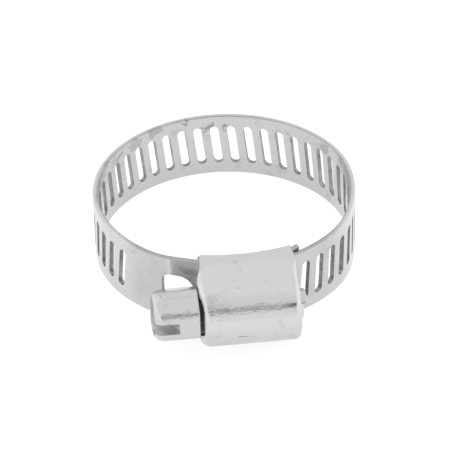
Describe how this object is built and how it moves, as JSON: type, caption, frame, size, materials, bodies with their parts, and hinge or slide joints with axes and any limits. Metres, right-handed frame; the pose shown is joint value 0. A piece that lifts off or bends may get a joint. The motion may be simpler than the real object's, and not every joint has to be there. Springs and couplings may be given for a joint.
{
  "type": "hose clamp",
  "caption": "Worm-drive hose clamp: a narrow slotted steel band rolled to a ring, drawn tight by a slotted hex-head screw held in a pressed housing.",
  "frame": {"origin": "centre of the clamped hose: on the ring's axis, at half the band's width", "axes": "+Z along the ring's axis, -Y from the ring's centre to the housing, +X along the screw from its head to its tip"},
  "size_m": [0.0298, 0.0364, 0.0094],
  "materials": {
    "band_steel": "bright rolled stainless strip with fine lengthwise lines, small scuffs and smudges",
    "housing_steel": "bright pressed stainless sheet, satin, with fine scratches and polished rounded edges",
    "screw_steel": "bright cold-formed and turned stainless steel with tool marks in the driver slot"
  },
  "bodies": {
    "root": {"housing": "housing_steel", "band_fixed_end": "band_steel"},
    "worm_screw": {"worm_screw": "screw_steel"},
    "band_link_1": {"band_link_1": "band_steel"},
    "band_link_2": {"band_link_2": "band_steel"},
    "band_link_3": {"band_link_3": "band_steel"},
    "band_link_4": {"band_link_4": "band_steel"},
    "band_link_5": {"band_link_5": "band_steel"},
    "band_link_6": {"band_link_6": "band_steel"},
    "band_link_7": {"band_link_7": "band_steel"},
    "band_link_8": {"band_link_8": "band_steel"},
    "band_tail": {"band_tail": "band_steel"},
    "band_tail_tip": {"band_tail_tip": "band_steel"}
  },
  "joints": [
    {"name": "screw_turn", "type": "hinge", "parent": "root", "child": "worm_screw", "pos_m": [0, -0.01745, 0], "axis": [1, 0, 0], "range_deg": [0, 1080]},
    {"name": "band_bend_9", "type": "hinge", "parent": "root", "child": "band_link_8", "pos_m": [-0.01288, -0.00709, 0], "axis": [0, 0, 1], "range_deg": [-3.69, 0]},
    {"name": "band_bend_8", "type": "hinge", "parent": "band_link_8", "child": "band_link_7", "pos_m": [-0.01464, -0.00137, 0], "axis": [0, 0, 1], "range_deg": [-3.01, 0]},
    {"name": "band_bend_7", "type": "hinge", "parent": "band_link_7", "child": "band_link_6", "pos_m": [-0.01321, 0.00644, 0], "axis": [0, 0, 1], "range_deg": [-2.36, 0]},
    {"name": "band_bend_6", "type": "hinge", "parent": "band_link_6", "child": "band_link_5", "pos_m": [-0.00794, 0.01237, 0], "axis": [0, 0, 1], "range_deg": [-1.76, 0]},
    {"name": "band_bend_5", "type": "hinge", "parent": "band_link_5", "child": "band_link_4", "pos_m": [-0.00035, 0.0147, 0], "axis": [0, 0, 1], "range_deg": [-1.51, 0]},
    {"name": "band_bend_4", "type": "hinge", "parent": "band_link_4", "child": "band_link_3", "pos_m": [0.00734, 0.01274, 0], "axis": [0, 0, 1], "range_deg": [-1.61, 0]},
    {"name": "band_bend_3", "type": "hinge", "parent": "band_link_3", "child": "band_link_2", "pos_m": [0.01289, 0.00707, 0], "axis": [0, 0, 1], "range_deg": [-2.06, 0]},
    {"name": "band_bend_2", "type": "hinge", "parent": "band_link_2", "child": "band_link_1", "pos_m": [0.01449, -0.00066, 0], "axis": [0, 0, 1], "range_deg": [-3.01, 0]},
    {"name": "band_bend_1", "type": "hinge", "parent": "band_link_1", "child": "band_tail", "pos_m": [0.01236, -0.00831, 0], "axis": [0, 0, 1], "range_deg": [-4.58, 0]},
    {"name": "tail_tip_bend", "type": "hinge", "parent": "band_tail", "child": "band_tail_tip", "pos_m": [0.00033, -0.01495, 0], "axis": [0, 0, 1], "range_deg": [0, 5.41]}
  ],
  "couplings": [
    {"joint": "band_bend_9", "follows": "screw_turn", "ratio": -0.0034028},
    {"joint": "band_bend_8", "follows": "screw_turn", "ratio": -0.002775},
    {"joint": "band_bend_7", "follows": "screw_turn", "ratio": -0.002175},
    {"joint": "band_bend_6", "follows": "screw_turn", "ratio": -0.0016167},
    {"joint": "band_bend_5", "follows": "screw_turn", "ratio": -0.0013917},
    {"joint": "band_bend_4", "follows": "screw_turn", "ratio": -0.0014806},
    {"joint": "band_bend_3", "follows": "screw_turn", "ratio": -0.0019028},
    {"joint": "band_bend_2", "follows": "screw_turn", "ratio": -0.002775},
    {"joint": "band_bend_1", "follows": "screw_turn", "ratio": -0.0042306},
    {"joint": "tail_tip_bend", "follows": "screw_turn", "ratio": 0.005}
  ]
}
